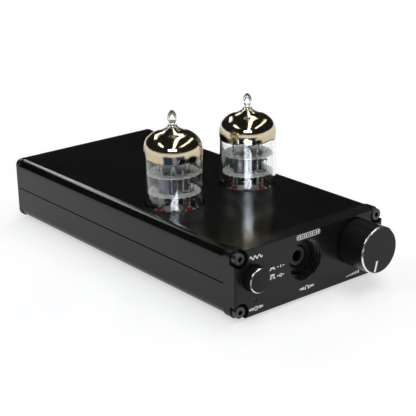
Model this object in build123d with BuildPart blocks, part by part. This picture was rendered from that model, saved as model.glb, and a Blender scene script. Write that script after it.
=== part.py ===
from build123d import *
import math
import os

# Desktop headphone amplifier with two miniature valves, as separate pieces, in millimetres.
#
# +Z is up and the front panel faces -Y. The origin lies on the surface that the feet stand on, in the
# middle of the whole object's width and length. Every place below is given as (x, depth, height): x from
# the middle, depth behind the front panel's face, height above the case's underside.

os.makedirs("parts", exist_ok=True)

# ------------------------------------------------------------------------------------------ clearances
slide_gap = 0.05        # radius or side left round a shaft, a valve pin or a plunger
free_gap = 0.3          # room between a moving piece and what it must not touch
assembly_gap = 0.1      # room left between pieces that are only placed side by side

# ------------------------------------------------------------------------------------------------ case
case_width = 60.4
case_height = 21.1
case_length = 121.3     # front panel's face to rear panel's face
case_edge_radius = 3.1
shell_wall = 1.5
seam_height = 10.7
seam_groove = 0.2
tongue_height = 0.8
tongue_width = 0.6
front_panel_thickness = 5.2
rear_panel_thickness = 2.0
panel_corner_radius = 2.2
panel_edge_chamfer = 0.2
foot_height = 1.0
foot_radius = 4.0
foot_side_inset = 9.2
foot_end_inset = 12.0
foot_chamfer = 0.2

# ------------------------------------------------------------------------------------ case screws (M2)
screw_radius = 1.0
screw_length = 8.0
screw_hole_radius = screw_radius + assembly_gap
screw_head_radius = 1.9
screw_head_height = 2.0
screw_socket_width = 1.5    # across the flats
screw_socket_depth = 1.0
screw_head_chamfer = 0.2
screw_side_inset = 2.25
screw_edge_inset = 2.3
screw_boss_radius = 1.85
screw_recess_radius = 2.85
screw_recess_depth = 2.3
rear_screw_head_angle = 90  # countersunk

# --------------------------------------------------------------------------------------- circuit board
board_underside = 5.16
board_thickness = 1.6
board_end_gap = 0.8
board_side_gap = 0.2
rail_width = 1.0
rail_height = 1.1
lead_radius = 0.4
lead_tail = 0.9
lead_pitch = 2.54

# -------------------------------------------------------------------------------------- volume control
knob_x = 17.96
knob_height = 12.71
knob_radius = 7.45
knob_standoff = 10.7        # knob's face in front of the panel's face
knob_panel_gap = 0.8
knob_face_wall = 1.2
knob_chamfer = 0.6
knob_recess_depth = 3.8
pointer_angle = 16.0        # from straight down towards -X at rest
pointer_start = 3.3
pointer_end = 6.85
pointer_width = 0.75
pointer_depth = 0.3
shaft_radius = 3.0
shaft_flat = 1.5            # from the axis to the flat
shaft_tail = 6.8            # length inside the potentiometer
bushing_radius = 3.5
bushing_reach = 4.0         # in front of the panel's face
washer_radius = 5.3
washer_thickness = 0.5
nut_width = 10.0            # across the flats
nut_thickness = 2.0
grub_radius = 1.5
grub_length = 5.0
grub_socket_width = 1.5
grub_socket_depth = 1.6
pot_width = 12.1
pot_length = 8.3
pot_top_height = 18.8
pot_corner_radius = 1.0
pot_lead_inset = 2.0        # from its back

# ---------------------------------------------------------------------------------------- power button
button_x = -23.1
button_height = 12.0
button_radius = 3.8
button_reach = 3.15
button_chamfer = 0.45
button_travel = 2.0
button_flange_radius = 4.6
button_flange_thickness = 1.0
button_tail_reach = 1.0     # behind the flange
plunger_width = 2.6
plunger_start = 2.5
plunger_insert = 4.5        # length inside the switch at rest
switch_gap = 1.0            # left between the cap and the switch at full press
switch_width = 8.4
switch_length = 12.0
switch_top_height = 16.6

# -------------------------------------------------------------------------------------- headphone jack
jack_x = -2.49
jack_height = 12.05
jack_recess_radius = 6.2
jack_recess_depth = 4.0
jack_recess_chamfer = 0.3
jack_nose_radius = 3.0
jack_nose_gap = 0.6
jack_bore_radius = 1.8
jack_nose_length = 6.1
jack_nose_setback = 0.1     # in front of the recess floor
jack_body_width = 9.6
jack_body_length = 14.0
jack_body_top_height = 17.3
jack_body_bore_radius = 2.2
jack_body_end_wall = 1.0

# ----------------------------------------------------------------------------------------- power light
light_x = -22.4
light_height = 4.66
light_radius = 0.5
light_setback = 0.25
led_width = 3.0
led_length = 1.8

# ---------------------------------------------------------------------------------------------- valves
valve_spacing = 30.8
valve_depth = 47.0
valve_seat_height = 15.5
valve_hole_gap = 0.4
valve_hole_chamfer = 0.3
bulb_radius = 9.25
bulb_wall = 0.6
bulb_base_radius = 2.4      # rounding of the bulb's lower edge
bulb_base_thickness = 2.3
shoulder_flare = 0.1        # the shoulder is this much wider than the bulb
shoulder_start = 36.0
shoulder_height = 38.7
dome_rings = [              # inward from the shoulder, above it, and the lean of the glass in degrees
    (0.8, 2.95, 40),
    (2.93, 4.95, 55),
    (5.83, 6.05, 65),
]
neck_radius = 1.5
neck_bore = 0.7
neck_height = 46.5          # where the dome meets the tip's neck
neck_lean = (-0.2, 1.0)     # direction of the glass at the neck
bead_radius = 1.62
bead_height = 48.3
tip_height = 51.2
getter_edge_height = 36.2
getter_thickness = 0.12
film_gap = 0.06
mica_gap = 0.3
mica_thickness = 0.3
lower_mica_height = 25.2
upper_mica_height = 31.4
anode_width = 11.0
anode_depth = 5.0
anode_wall = 0.3
anode_window_radius = 0.9
anode_window_offset = 1.7
cathode_radius = 0.7
cathode_reach = 1.4         # past each mica
getter_ring_radius = 2.3
getter_ring_wire = 0.3
getter_ring_height = 35.6
pin_circle_radius = 4.765
pin_positions = 8           # seven pins on eight equal positions
pin_count = 7
pin_radius = 0.51
pin_reach = 6.2             # below the bulb
pin_chamfer = 0.17
lead_wire_radius = 0.3
lead_wire_top = 33.6
seal_radius = 0.85
seal_height = 1.3
socket_radius = 8.3
socket_chamfer = 0.5
socket_hub_radius = 1.6
contact_wall = 0.3
contact_foot = 1.2          # solid end of a socket contact, above the board

# ---------------------------------------------------------------------------------------- rear sockets
phono_middle_x = 12.5
phono_spacing = 14.0
phono_height = 11.6
phono_reach = 8.5
phono_shell_radius = 4.15
phono_root_radius = 3.9     # where the shell stands in its block and passes the rear panel
phono_root_reach = 0.4      # from the rear panel's face to the step
phono_shell_chamfer = 0.2
phono_shell_wall = 0.7
phono_panel_gap = 0.3
phono_insulator_setback = 0.3
phono_bore_radius = 1.7     # through the insulator and the contact behind it
phono_bore_length = 11.0    # in the insulator
phono_seat_length = 7.3
phono_contact_wall = 0.65
phono_block_side = 6.3
phono_block_length = 11.3
phono_block_top_height = 18.2
inlet_x = -20.0
inlet_height = 11.6
inlet_nose_radius = 3.9
inlet_bore_radius = 3.1
inlet_bore_depth = 10.0
inlet_pin_radius = 1.0
inlet_pin_root_radius = 1.3
inlet_pin_root_length = 2.3
inlet_pin_setback = 0.5
inlet_pin_chamfer = 0.4
inlet_width = 9.0
inlet_length = 14.0
inlet_top_height = 17.4
inlet_lead_depths = (4.2, 11.2)     # in front of the rear panel

# ---------------------------------------------------------------------------------- parts on the board
electrolytic_radius = 4.0
electrolytic_height = 11.5
electrolytic_chamfer = 0.3
electrolytic_places = [(-20, 70), (-20, 80), (-10, 70), (-10, 80)]
film_size = (7.2, 4.5, 9.0)
film_places = [(8, 67), (8, 73.5), (20, 67), (20, 73.5)]
chip_size = (9.6, 6.4, 3.6)
chip_places = [(4, 85), (18, 85)]
resistor_radius = 1.1
resistor_length = 6.3
resistor_places = [(x, depth) for x in (-4, 10) for depth in (26, 30, 34)]
regulator_size = (10.2, 4.5, 9.0)
regulator_place = (-6, 94)
sink_size = (16.0, 9.0, 11.0)
sink_fin_gap = 1.6
sink_fin_count = 4
inductor_radius = 5.0
inductor_height = 7.0
inductor_fillet = 1.0
inductor_place = (-21, 92)

# -------------------------------------------------------------------------------------- derived places
overall_length = knob_standoff + case_length + phono_reach
front_y = knob_standoff - overall_length / 2
board_top = board_underside + board_thickness
board_front = front_panel_thickness + board_end_gap
board_back = case_length - rear_panel_thickness - board_end_gap
rear_panel_depth = case_length - rear_panel_thickness
shell_length = case_length - front_panel_thickness - rear_panel_thickness
inner_half_width = case_width / 2 - shell_wall
glass_underside = valve_seat_height + free_gap
valve_hole_radius = bulb_radius + valve_hole_gap
shoulder_radius = bulb_radius + shoulder_flare
mica_radius = bulb_radius - bulb_wall - mica_gap
screw_corners = [
    (side * (case_width / 2 - screw_side_inset), height)
    for side in (-1, 1)
    for height in (screw_edge_inset, case_height - screw_edge_inset)
]
valve_places = {"left": -valve_spacing / 2, "right": valve_spacing / 2}
phono_places = {
    "left": phono_middle_x - phono_spacing / 2,
    "right": phono_middle_x + phono_spacing / 2,
}


def at(x, depth, height):
    """World place of a point given from the front panel's face and the case's underside."""
    return (x, front_y + depth, foot_height + height)


def upright(depth, x=0.0, height=0.0):
    """Plane parallel to the front panel, with its normal to the front, x to the right and y up."""
    return Plane(origin=at(x, depth, height), x_dir=(1, 0, 0), z_dir=(0, -1, 0))


def level(height, x=0.0, depth=0.0):
    """Horizontal plane, with x to the right and y to the back."""
    return Plane(origin=at(x, depth, height), x_dir=(1, 0, 0), z_dir=(0, 0, 1))


def valve_pin_angles():
    """Directions of the seven pins, from the valve's axis, with the gap to the back."""
    step = 360 / pin_positions
    return [90 + step * (number + 1) for number in range(pin_count)]


def valve_pin_points():
    """Places of the seven pins on the pin circle, from the valve's axis."""
    return [
        (
            pin_circle_radius * math.cos(math.radians(angle)),
            pin_circle_radius * math.sin(math.radians(angle)),
        )
        for angle in valve_pin_angles()
    ]


# ---------------------------------------------------------------------------------------------- shells
def make_shell(is_top):
    """One half of the extruded case, open at both ends, with a lap joint along the side seam."""
    keep_middle = (seam_height + case_height) / 2 if is_top else seam_height / 2
    keep_height = case_height - seam_height if is_top else seam_height
    lap_gap = slide_gap if is_top else 0.0
    lap_x = inner_half_width + (tongue_width + lap_gap) / 2
    lap_size = (tongue_width + lap_gap, tongue_height + lap_gap)
    with BuildPart() as shell:
        with BuildSketch(upright(front_panel_thickness)) as section:
            with Locations((0, case_height / 2)):
                RectangleRounded(case_width, case_height, case_edge_radius)
                RectangleRounded(
                    case_width - 2 * shell_wall,
                    case_height - 2 * shell_wall,
                    case_edge_radius - shell_wall,
                    mode=Mode.SUBTRACT,
                )
            with Locations(*screw_corners):
                Circle(screw_boss_radius)
            with Locations((0, case_height / 2)):
                RectangleRounded(case_width, case_height, case_edge_radius, mode=Mode.INTERSECT)
            with Locations(*screw_corners):
                Circle(screw_radius, mode=Mode.SUBTRACT)
            if not is_top:
                rail_x = inner_half_width - rail_width / 2
                for rail_bottom in (board_underside - rail_height, board_top + slide_gap):
                    rail_y = rail_bottom + rail_height / 2
                    with Locations((-rail_x, rail_y), (rail_x, rail_y)):
                        Rectangle(rail_width, rail_height)
            with Locations((0, keep_middle)):
                Rectangle(case_width, keep_height, mode=Mode.INTERSECT)
            lap_y = seam_height + lap_size[1] / 2
            with Locations((-lap_x, lap_y), (lap_x, lap_y)):
                Rectangle(*lap_size, mode=Mode.SUBTRACT if is_top else Mode.ADD)
            with Locations((-case_width / 2, seam_height), (case_width / 2, seam_height)):
                Rectangle(
                    seam_groove * math.sqrt(2),
                    seam_groove * math.sqrt(2),
                    rotation=45,
                    mode=Mode.SUBTRACT,
                )
        extrude(amount=-shell_length)
        if is_top:
            with BuildSketch(level(case_height)):
                with Locations(*[(x, valve_depth) for x in valve_places.values()]):
                    Circle(valve_hole_radius)
            extrude(amount=-2 * shell_wall, mode=Mode.SUBTRACT)
            rims = shell.edges().filter_by(GeomType.CIRCLE).group_by(Axis.Z)[-1]
            chamfer(rims, length=valve_hole_chamfer)
    return shell.part


top_shell = make_shell(is_top=True)
top_shell.label = "top_shell"
export_step(top_shell, "parts/top_shell.step")

bottom_shell = make_shell(is_top=False)
bottom_shell.label = "bottom_shell"
export_step(bottom_shell, "parts/bottom_shell.step")

# ----------------------------------------------------------------------------------------- front panel
with BuildPart() as front_panel:
    with BuildSketch(upright(0)):
        with Locations((0, case_height / 2)):
            RectangleRounded(case_width, case_height, panel_corner_radius)
    extrude(amount=-front_panel_thickness)
    chamfer(front_panel.faces().sort_by(Axis.Y)[0].edges(), length=panel_edge_chamfer)
    with BuildSketch(upright(0)):
        with Locations((jack_x, jack_height)):
            Circle(jack_recess_radius)
    extrude(amount=-jack_recess_depth, mode=Mode.SUBTRACT)
    jack_rim = front_panel.faces().sort_by(Axis.Y)[0].inner_wires().edges()
    chamfer(jack_rim, length=jack_recess_chamfer)
    with BuildSketch(upright(0)):
        with Locations(*screw_corners):
            Circle(screw_recess_radius)
    extrude(amount=-screw_recess_depth, mode=Mode.SUBTRACT)
    with BuildSketch(upright(0)):
        with Locations(*screw_corners):
            Circle(screw_hole_radius)
        with Locations((jack_x, jack_height)):
            Circle(jack_nose_radius + jack_nose_gap)
        with Locations((button_x, button_height)):
            Circle(button_radius + free_gap)
        with Locations((knob_x, knob_height)):
            Circle(bushing_radius + assembly_gap)
        with Locations((light_x, light_height)):
            Circle(light_radius)
    extrude(amount=-front_panel_thickness, mode=Mode.SUBTRACT)
front_panel.part.label = "front_panel"
export_step(front_panel.part, "parts/front_panel.step")

# ------------------------------------------------------------------------------------------ rear panel
with BuildPart() as rear_panel:
    with BuildSketch(upright(rear_panel_depth)):
        with Locations((0, case_height / 2)):
            RectangleRounded(case_width, case_height, panel_corner_radius)
    extrude(amount=-rear_panel_thickness)
    chamfer(rear_panel.faces().sort_by(Axis.Y)[-1].edges(), length=panel_edge_chamfer)
    with BuildSketch(upright(rear_panel_depth)):
        with Locations(*[(x, phono_height) for x in phono_places.values()]):
            Circle(phono_root_radius + phono_panel_gap)
        with Locations((inlet_x, inlet_height)):
            Circle(inlet_nose_radius + assembly_gap)
    extrude(amount=-rear_panel_thickness, mode=Mode.SUBTRACT)
    for screw_x, screw_height in screw_corners:
        with Locations(Plane(origin=at(screw_x, case_length, screw_height), z_dir=(0, 1, 0))):
            CounterSinkHole(
                radius=screw_radius,
                counter_sink_radius=screw_head_radius,
                depth=rear_panel_thickness,
                counter_sink_angle=rear_screw_head_angle,
            )
rear_panel.part.label = "rear_panel"
export_step(rear_panel.part, "parts/rear_panel.step")

# ---------------------------------------------------------------------------------------------- screws
with BuildPart() as cap_screw:
    with BuildSketch(Plane.XZ):
        Circle(screw_head_radius)
    extrude(amount=screw_head_height)
    chamfer(cap_screw.edges().sort_by(Axis.Y)[0], length=screw_head_chamfer)
    with BuildSketch(Plane.XZ):
        Circle(screw_radius)
    extrude(amount=-screw_length)
    with BuildSketch(Plane.XZ.offset(screw_head_height)):
        RegularPolygon(screw_socket_width / 2, 6, major_radius=False)
    extrude(amount=-screw_socket_depth, mode=Mode.SUBTRACT)

with BuildPart() as front_panel_screws:
    with Locations(*[at(x, screw_recess_depth, height) for x, height in screw_corners]):
        add(cap_screw.part)
front_panel_screws.part.label = "front_panel_screws"
export_step(front_panel_screws.part, "parts/front_panel_screws.step")

with BuildPart() as countersunk_screw:
    with BuildSketch(Plane.YZ):
        with BuildLine():
            Polyline(
                (0, 0),
                (0, screw_head_radius),
                (screw_radius - screw_head_radius, screw_radius),
                (-screw_length, screw_radius),
                (-screw_length, 0),
                close=True,
            )
        make_face()
    revolve(axis=Axis.Y)
    with BuildSketch(Plane.XZ):
        RegularPolygon(screw_socket_width / 2, 6, major_radius=False)
    extrude(amount=screw_socket_depth, mode=Mode.SUBTRACT)

with BuildPart() as rear_panel_screws:
    with Locations(*[at(x, case_length, height) for x, height in screw_corners]):
        add(countersunk_screw.part)
rear_panel_screws.part.label = "rear_panel_screws"
export_step(rear_panel_screws.part, "parts/rear_panel_screws.step")

# ------------------------------------------------------------------------------------------------ feet
foot_x = case_width / 2 - foot_side_inset
foot_depths = (foot_end_inset, case_length - foot_end_inset)
foot_places = [(x, depth) for x in (-foot_x, foot_x) for depth in foot_depths]
with BuildPart() as rubber_feet:
    with BuildSketch(level(0)):
        with Locations(*foot_places):
            Circle(foot_radius)
    extrude(amount=-foot_height)
    chamfer(rubber_feet.edges().group_by(Axis.Z)[0], length=foot_chamfer)
rubber_feet.part.label = "rubber_feet"
export_step(rubber_feet.part, "parts/rubber_feet.step")

# -------------------------------------------------------------------------------------- volume control
pointer_direction = (-math.sin(math.radians(pointer_angle)), -math.cos(math.radians(pointer_angle)))
knob_back = -knob_panel_gap
knob_face = -knob_standoff
recess_floor = knob_back - knob_recess_depth
bore_end = knob_face + knob_face_wall
nut_corner_radius = nut_width / math.sqrt(3)
grub_depth = (recess_floor + bore_end) / 2
knob_axis = (knob_x, knob_height)
grub_plane = Plane(
    origin=at(knob_x, grub_depth, knob_height),
    x_dir=(0, 1, 0),
    z_dir=(pointer_direction[0], 0, pointer_direction[1]),
)


def pointer_sketch_place():
    """Middle of the pointer's strip, from the knob's axis."""
    middle = (pointer_start + pointer_end) / 2
    return (middle * pointer_direction[0], middle * pointer_direction[1])


with BuildPart() as volume_knob:
    with BuildSketch(upright(knob_back, *knob_axis)):
        Circle(knob_radius)
    extrude(amount=knob_standoff - knob_panel_gap)
    chamfer(volume_knob.edges().sort_by(Axis.Y)[0], length=knob_chamfer)
    with BuildSketch(upright(knob_back, *knob_axis)):
        Circle(nut_corner_radius + free_gap + assembly_gap)
    extrude(amount=knob_recess_depth, mode=Mode.SUBTRACT)
    with BuildSketch(upright(recess_floor, *knob_axis)):
        Circle(shaft_radius)
    extrude(amount=recess_floor - bore_end, mode=Mode.SUBTRACT)
    with BuildSketch(grub_plane):
        Circle(grub_radius)
    extrude(amount=knob_radius, mode=Mode.SUBTRACT)
    with BuildSketch(upright(knob_face, *knob_axis)):
        with Locations(pointer_sketch_place()):
            Rectangle(pointer_width, pointer_end - pointer_start, rotation=-pointer_angle)
    extrude(amount=-pointer_depth, mode=Mode.SUBTRACT)
volume_knob.part.label = "volume_knob"
export_step(volume_knob.part, "parts/volume_knob.step")

with BuildPart() as knob_pointer:
    with BuildSketch(upright(knob_face, *knob_axis)):
        with Locations(pointer_sketch_place()):
            Rectangle(pointer_width, pointer_end - pointer_start, rotation=-pointer_angle)
    extrude(amount=-pointer_depth)
knob_pointer.part.label = "knob_pointer"
export_step(knob_pointer.part, "parts/knob_pointer.step")

with BuildPart() as knob_grub_screw:
    with BuildSketch(grub_plane.offset(shaft_flat)):
        Circle(grub_radius)
    extrude(amount=grub_length)
    with BuildSketch(grub_plane.offset(shaft_flat + grub_length)):
        RegularPolygon(grub_socket_width / 2, 6, major_radius=False)
    extrude(amount=-grub_socket_depth, mode=Mode.SUBTRACT)
knob_grub_screw.part.label = "knob_grub_screw"
export_step(knob_grub_screw.part, "parts/knob_grub_screw.step")

with BuildPart() as potentiometer_shaft:
    with BuildSketch(upright(bore_end, *knob_axis)):
        Circle(shaft_radius)
    extrude(amount=bore_end - front_panel_thickness - shaft_tail)
    with BuildSketch(grub_plane.offset(shaft_flat)):
        Rectangle(recess_floor - bore_end, 2 * shaft_radius)
    extrude(amount=shaft_radius, mode=Mode.SUBTRACT)
potentiometer_shaft.part.label = "potentiometer_shaft"
export_step(potentiometer_shaft.part, "parts/potentiometer_shaft.step")

with BuildPart() as potentiometer_bushing:
    with BuildSketch(upright(-bushing_reach, *knob_axis)):
        Circle(bushing_radius)
        Circle(shaft_radius + slide_gap, mode=Mode.SUBTRACT)
    extrude(amount=-bushing_reach - front_panel_thickness)
potentiometer_bushing.part.label = "potentiometer_bushing"
export_step(potentiometer_bushing.part, "parts/potentiometer_bushing.step")

with BuildPart() as potentiometer_washer:
    with BuildSketch(upright(0, *knob_axis)):
        Circle(washer_radius)
        Circle(bushing_radius, mode=Mode.SUBTRACT)
    extrude(amount=washer_thickness)
potentiometer_washer.part.label = "potentiometer_washer"
export_step(potentiometer_washer.part, "parts/potentiometer_washer.step")

with BuildPart() as potentiometer_nut:
    with BuildSketch(upright(-washer_thickness, *knob_axis)):
        RegularPolygon(nut_width / 2, 6, major_radius=False)
        Circle(bushing_radius, mode=Mode.SUBTRACT)
    extrude(amount=nut_thickness)
potentiometer_nut.part.label = "potentiometer_nut"
export_step(potentiometer_nut.part, "parts/potentiometer_nut.step")

with BuildPart() as potentiometer_body:
    with BuildSketch(upright(front_panel_thickness, knob_x)):
        with Locations((0, (board_top + pot_top_height) / 2)):
            RectangleRounded(pot_width, pot_top_height - board_top, pot_corner_radius)
    extrude(amount=-pot_length)
    with BuildSketch(upright(front_panel_thickness, *knob_axis)):
        Circle(shaft_radius + slide_gap)
    extrude(amount=-shaft_tail - free_gap, mode=Mode.SUBTRACT)
potentiometer_body.part.label = "potentiometer_body"
export_step(potentiometer_body.part, "parts/potentiometer_body.step")

# ---------------------------------------------------------------------------------------- power button
button_axis = (button_x, button_height)
flange_front = front_panel_thickness + free_gap
button_tail = flange_front + button_flange_thickness + button_tail_reach
switch_front = button_tail + button_travel + switch_gap
plunger_end = switch_front + plunger_insert

with BuildPart() as power_button:
    with BuildSketch(upright(-button_reach, *button_axis)):
        Circle(button_radius)
    extrude(amount=-button_reach - button_tail)
    chamfer(power_button.edges().sort_by(Axis.Y)[0], length=button_chamfer)
    with BuildSketch(upright(flange_front, *button_axis)):
        Circle(button_flange_radius)
    extrude(amount=-button_flange_thickness)
    with BuildSketch(upright(plunger_start, *button_axis)):
        Rectangle(plunger_width, plunger_width)
    extrude(amount=plunger_start - button_tail, mode=Mode.SUBTRACT)
power_button.part.label = "power_button"
export_step(power_button.part, "parts/power_button.step")

with BuildPart() as switch_plunger:
    with BuildSketch(upright(plunger_start, *button_axis)):
        Rectangle(plunger_width, plunger_width)
    extrude(amount=plunger_start - plunger_end)
switch_plunger.part.label = "switch_plunger"
export_step(switch_plunger.part, "parts/switch_plunger.step")

with BuildPart() as switch_body:
    with BuildSketch(upright(switch_front, button_x)):
        with Locations((0, (board_top + switch_top_height) / 2)):
            Rectangle(switch_width, switch_top_height - board_top)
    extrude(amount=-switch_length)
    with BuildSketch(upright(switch_front, *button_axis)):
        Rectangle(plunger_width + 2 * slide_gap, plunger_width + 2 * slide_gap)
    extrude(amount=switch_front - plunger_end - button_travel - free_gap, mode=Mode.SUBTRACT)
switch_body.part.label = "switch_body"
export_step(switch_body.part, "parts/switch_body.step")

# -------------------------------------------------------------------------------------- headphone jack
jack_axis = (jack_x, jack_height)
nose_front = jack_recess_depth - jack_nose_setback
jack_body_front = front_panel_thickness + board_end_gap
with BuildPart() as jack_nose:
    with BuildSketch(upright(nose_front, *jack_axis)):
        Circle(jack_nose_radius)
        Circle(jack_bore_radius, mode=Mode.SUBTRACT)
    extrude(amount=-jack_nose_length)
jack_nose.part.label = "jack_nose"
export_step(jack_nose.part, "parts/jack_nose.step")

with BuildPart() as jack_body:
    with BuildSketch(upright(jack_body_front, jack_x)):
        with Locations((0, (board_top + jack_body_top_height) / 2)):
            Rectangle(jack_body_width, jack_body_top_height - board_top)
    extrude(amount=-jack_body_length)
    with BuildSketch(upright(jack_body_front, *jack_axis)):
        Circle(jack_nose_radius)
    extrude(amount=jack_body_front - nose_front - jack_nose_length, mode=Mode.SUBTRACT)
    with BuildSketch(upright(jack_body_front, *jack_axis)):
        Circle(jack_body_bore_radius)
    extrude(amount=jack_body_end_wall - jack_body_length, mode=Mode.SUBTRACT)
jack_body.part.label = "jack_body"
export_step(jack_body.part, "parts/jack_body.step")

# ----------------------------------------------------------------------------------------- power light
with BuildPart() as light_pipe:
    with BuildSketch(upright(light_setback, light_x, light_height)):
        Circle(light_radius)
    extrude(amount=light_setback - board_front)
light_pipe.part.label = "light_pipe"
export_step(light_pipe.part, "parts/light_pipe.step")

with BuildPart() as indicator_led:
    with BuildSketch(level(board_underside, light_x, board_front + led_length / 2)):
        Rectangle(led_width, led_length)
    extrude(amount=2 * (light_height - board_underside))
indicator_led.part.label = "indicator_led"
export_step(indicator_led.part, "parts/indicator_led.step")


# ---------------------------------------------------------------------------------------------- valves
def dome_points(inset, bore):
    """Points of the dome as (radius, height), from the shoulder to the neck, `inset` inside the glass."""
    outside = [(bulb_radius, shoulder_start, 0), (shoulder_radius, shoulder_height, 0)]
    outside += [
        (shoulder_radius - inward, shoulder_height + rise, lean)
        for inward, rise, lean in dome_rings
    ]
    ring_points = [
        (
            radius - inset * math.cos(math.radians(lean)),
            height - inset * math.sin(math.radians(lean)),
        )
        for radius, height, lean in outside
    ]
    return ring_points + [(bore, neck_height)]


def dome_lining(inset, bore):
    """Closed top of the bulb's inside, or of a film on it, as one curve."""
    return Spline(*dome_points(inset, bore), (0, neck_height + bore), tangents=((0, 1), (-1, 0)))


def make_bulb(x):
    """Glass envelope: a closed hollow cylinder with a domed top and a sealed-off tip."""
    inner_radius = bulb_radius - bulb_wall
    inner_floor = glass_underside + bulb_base_thickness
    with BuildPart() as bulb:
        with BuildSketch(upright(valve_depth, x)):
            with BuildLine():
                low_side = Line((0, glass_underside), (bulb_radius - bulb_base_radius, glass_underside))
                edge_end = (bulb_radius, glass_underside + bulb_base_radius)
                TangentArc(low_side @ 1, edge_end, tangent=(1, 0))
                Line(edge_end, (bulb_radius, shoulder_start))
                dome = Spline(*dome_points(0, neck_radius), tangents=((0, 1), neck_lean))
                tip = Spline(
                    dome @ 1,
                    (bead_radius, bead_height),
                    (0, tip_height),
                    tangents=(neck_lean, (-1, 0)),
                )
                Line(tip @ 1, low_side @ 0)
            make_face()
            with BuildLine():
                floor_line = Line((0, inner_floor), (inner_radius - bulb_wall, inner_floor))
                corner_end = (inner_radius, inner_floor + bulb_wall)
                TangentArc(floor_line @ 1, corner_end, tangent=(1, 0))
                Line(corner_end, (inner_radius, shoulder_start))
                roof = dome_lining(bulb_wall, neck_bore)
                Line(roof @ 1, floor_line @ 0)
            make_face(mode=Mode.SUBTRACT)
        revolve(axis=Axis(at(x, valve_depth, 0), (0, 0, 1)))
        with BuildSketch(level(glass_underside, x, valve_depth)):
            with Locations(*valve_pin_points()):
                Circle(pin_radius)
        extrude(amount=bulb_base_thickness, mode=Mode.SUBTRACT)
    return bulb.part


def make_getter(x):
    """Metal film inside the dome, a little clear of the glass."""
    film_height = tip_height - getter_edge_height
    with BuildPart() as getter:
        with BuildSketch(upright(valve_depth, x)):
            with BuildLine():
                outside = dome_lining(bulb_wall + film_gap, neck_bore - film_gap)
                inside = dome_lining(
                    bulb_wall + film_gap + getter_thickness,
                    neck_bore - film_gap - getter_thickness,
                )
                Line(outside @ 0, inside @ 0)
                Line(outside @ 1, inside @ 1)
            make_face()
            with Locations((shoulder_radius / 2, getter_edge_height + film_height / 2)):
                Rectangle(2 * shoulder_radius, film_height, mode=Mode.INTERSECT)
        revolve(axis=Axis(at(x, valve_depth, 0), (0, 0, 1)))
    return getter.part


def make_micas(x):
    """Two mica discs that hold the electrodes, with a hole for each lead wire."""
    with BuildPart() as micas:
        for height in (lower_mica_height, upper_mica_height):
            with BuildSketch(level(height, x, valve_depth)):
                Circle(mica_radius)
                Circle(cathode_radius, mode=Mode.SUBTRACT)
                with Locations(*valve_pin_points()):
                    Circle(lead_wire_radius, mode=Mode.SUBTRACT)
            extrude(amount=-mica_thickness)
    return micas.part


def make_anode(x):
    """Flattened metal sleeve between the micas, with two round windows in its front."""
    span = upper_mica_height - mica_thickness - lower_mica_height
    with BuildPart() as anode:
        with BuildSketch(level(lower_mica_height, x, valve_depth)):
            SlotOverall(anode_width, anode_depth)
            SlotOverall(anode_width - 2 * anode_wall, anode_depth - 2 * anode_wall, mode=Mode.SUBTRACT)
        extrude(amount=span)
        with BuildSketch(upright(valve_depth, x, lower_mica_height + span / 2)):
            with Locations((-anode_window_offset, 0), (anode_window_offset, 0)):
                Circle(anode_window_radius)
        extrude(amount=anode_depth, mode=Mode.SUBTRACT)
    return anode.part


def make_electrodes(x):
    """Cathode sleeve on the axis, lead wires on the pins, and the getter's ring on two of the wires."""
    wire_foot = glass_underside + bulb_base_thickness + seal_height
    ring_wires = [valve_pin_points()[0], valve_pin_points()[-1]]
    with BuildPart() as electrodes:
        with BuildSketch(level(lower_mica_height - mica_thickness - cathode_reach, x, valve_depth)):
            Circle(cathode_radius)
        extrude(amount=upper_mica_height - lower_mica_height + mica_thickness + 2 * cathode_reach)
        with BuildSketch(level(wire_foot, x, valve_depth)):
            with Locations(*valve_pin_points()):
                Circle(lead_wire_radius)
        extrude(amount=lead_wire_top - wire_foot)
        with BuildSketch(level(lead_wire_top, x, valve_depth)):
            with Locations(*ring_wires):
                Circle(lead_wire_radius)
        extrude(amount=getter_ring_height - lead_wire_top)
        ring_middle = (0, ring_wires[0][1] - getter_ring_radius)
        with BuildSketch(level(getter_ring_height, x, valve_depth)):
            with Locations(ring_middle):
                Circle(getter_ring_radius + getter_ring_wire)
                Circle(getter_ring_radius - getter_ring_wire, mode=Mode.SUBTRACT)
            with Locations((0, ring_wires[0][1])):
                Rectangle(2 * ring_wires[-1][0], 2 * getter_ring_wire)
        extrude(amount=2 * getter_ring_wire)
    return electrodes.part


def make_seals(x):
    """Glass beads round the pins, on the floor of the bulb."""
    with BuildPart() as seals:
        with BuildSketch(level(glass_underside + bulb_base_thickness, x, valve_depth)):
            with Locations(*valve_pin_points()):
                Circle(seal_radius)
                Circle(pin_radius, mode=Mode.SUBTRACT)
        extrude(amount=seal_height)
    return seals.part


def make_pins(x):
    """Seven pins, from the top of their seals to below the bulb."""
    with BuildPart() as pins:
        with BuildSketch(level(glass_underside - pin_reach, x, valve_depth)):
            with Locations(*valve_pin_points()):
                Circle(pin_radius)
        extrude(amount=pin_reach + bulb_base_thickness + seal_height)
        chamfer(pins.edges().group_by(Axis.Z)[0], length=pin_chamfer)
    return pins.part


contact_radius = pin_radius + slide_gap + contact_wall


def make_socket(x):
    """Moulded seven-pin socket on the board."""
    with BuildPart() as socket:
        with BuildSketch(level(board_top, x, valve_depth)):
            Circle(socket_radius)
            Circle(socket_hub_radius, mode=Mode.SUBTRACT)
            with Locations(*valve_pin_points()):
                Circle(contact_radius, mode=Mode.SUBTRACT)
        extrude(amount=valve_seat_height - board_top)
        rim = socket.edges().group_by(Axis.Z)[-1].sort_by(SortBy.RADIUS)[-1]
        chamfer(rim, length=socket_chamfer)
    return socket.part


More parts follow.
